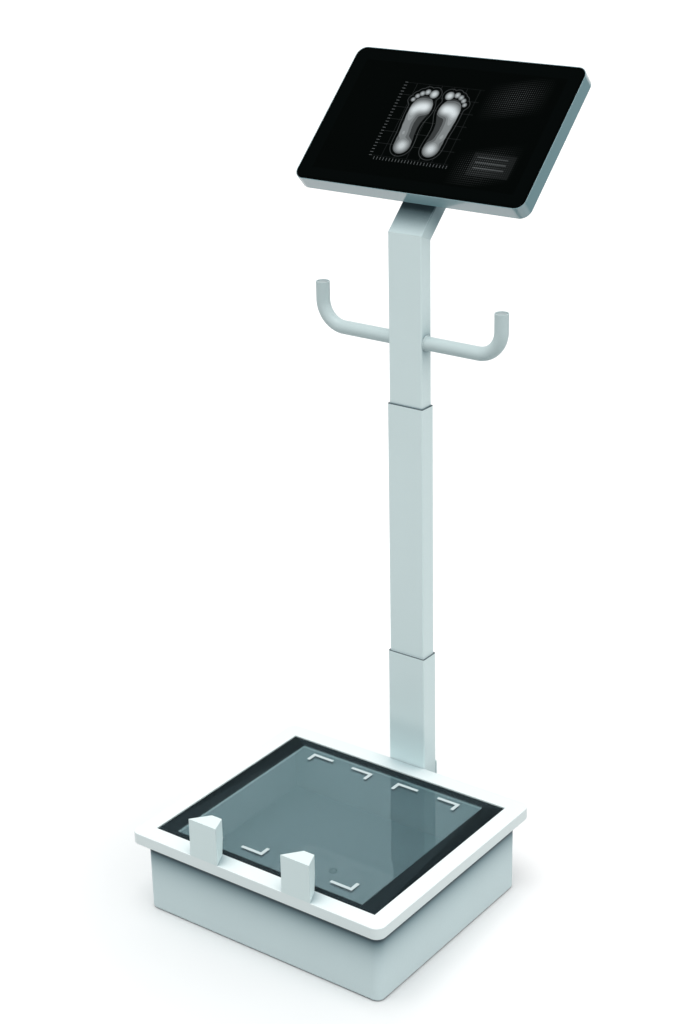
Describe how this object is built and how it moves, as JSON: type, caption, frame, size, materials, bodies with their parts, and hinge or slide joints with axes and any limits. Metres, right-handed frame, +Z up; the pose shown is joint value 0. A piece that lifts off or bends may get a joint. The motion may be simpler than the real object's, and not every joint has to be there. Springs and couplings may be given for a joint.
{
  "type": "foot measuring device",
  "caption": "Free-standing foot scanner: glass foot plate on a box base with heel stops, telescopic mast with hand grips and a tilted display.",
  "frame": {"origin": "on the floor under the centre of the foot plate, at the middle rubber pad's underside", "axes": "+Z up; +Y the way the user faces, from the heel stops to the mast; +X to the user's right"},
  "size_m": [0.55, 0.7132, 1.4674],
  "materials": {
    "frame_white": "satin moulded",
    "housing_paint": "fine powder coat",
    "mast_paint": "smooth powder coat",
    "mast_aluminium": "mill finish",
    "stop_plastic": "satin moulded",
    "clear_glass": "polished",
    "border_black": "printed",
    "mark_print": "printed",
    "black_rubber": "matt",
    "black_plastic": "matt",
    "floor_gloss": "high gloss",
    "light_plastic": "opal",
    "bare_aluminium": "extruded",
    "steel_parts": "zinc plated",
    "brass_parts": "turned",
    "board_green": "solder mask",
    "display_plastic": "satin moulded",
    "display_front": "polished, black printed edge",
    "panel_dark": "liquid crystal panel"
  },
  "bodies": {
    "base": {"top_frame": "frame_white", "heel_stop_left": "stop_plastic", "heel_stop_right": "stop_plastic", "base_housing": "housing_paint", "bottom_plate": "housing_paint", "rubber_feet": "black_rubber", "foot_marks": "mark_print", "glass_upper_pane": "clear_glass", "glass_lower_pane": "clear_glass", "glass_border": "border_black", "glass_gasket": "black_rubber", "chamber_liner": "border_black", "chamber_floor": "floor_gloss", "lamp_bars": "bare_aluminium", "lamp_covers": "light_plastic", "camera_barrel": "black_plastic", "camera_lens": "clear_glass", "camera_board": "board_green", "main_board": "board_green", "heat_sink": "bare_aluminium", "power_supply": "steel_parts", "inner_posts": "brass_parts", "inlet_socket": "black_plastic", "inlet_pins": "brass_parts", "switch_frame": "black_plastic", "lower_stage": "mast_paint", "mast_foot": "black_plastic", "mast_spacers": "mast_aluminium", "mast_backing_plates": "steel_parts", "mast_back_plate": "mast_paint", "mast_sleeves": "steel_parts", "mast_bolts": "steel_parts", "cable_grommet": "black_plastic", "lower_liner": "black_plastic", "lower_lock_block": "mast_paint", "lower_lock_screw": "steel_parts"},
    "middle_mast": {"mid_stage": "mast_paint", "mid_glide": "black_plastic", "mid_liner": "black_plastic", "mid_lock_block": "mast_paint", "mid_lock_screw": "steel_parts"},
    "upper_mast": {"upper_stage": "mast_paint", "head_arm": "mast_paint", "arm_end_cap": "mast_paint", "upper_glide": "black_plastic", "grip_left": "mast_paint", "grip_right": "mast_paint", "grip_plugs": "light_plastic", "display_shell": "display_plastic", "display_glass": "display_front", "screen_panel": "panel_dark", "panel_frame": "steel_parts", "display_boards": "board_green", "display_bracket": "mast_paint"},
    "rocker": {"switch_rocker": "black_plastic"},
    "button": {"display_button": "black_plastic"}
  },
  "joints": [
    {"name": "middle_slide", "type": "slide", "parent": "base", "child": "middle_mast", "axis": [0, 0, 1], "range_m": [-0.15, 0]},
    {"name": "upper_slide", "type": "slide", "parent": "middle_mast", "child": "upper_mast", "axis": [0, 0, 1], "range_m": [-0.1, 0]},
    {"name": "rocker_pivot", "type": "hinge", "parent": "base", "child": "rocker", "pos_m": [-0.146, 0.216, 0.032], "axis": [1, 0, 0], "range_deg": [0, 18]},
    {"name": "button_press", "type": "slide", "parent": "upper_mast", "child": "button", "axis": [0, -0.6858, 0.7278], "range_m": [0, 0.001], "stiffness_N_per_m": 1200, "springref_m": -0.0003}
  ]
}
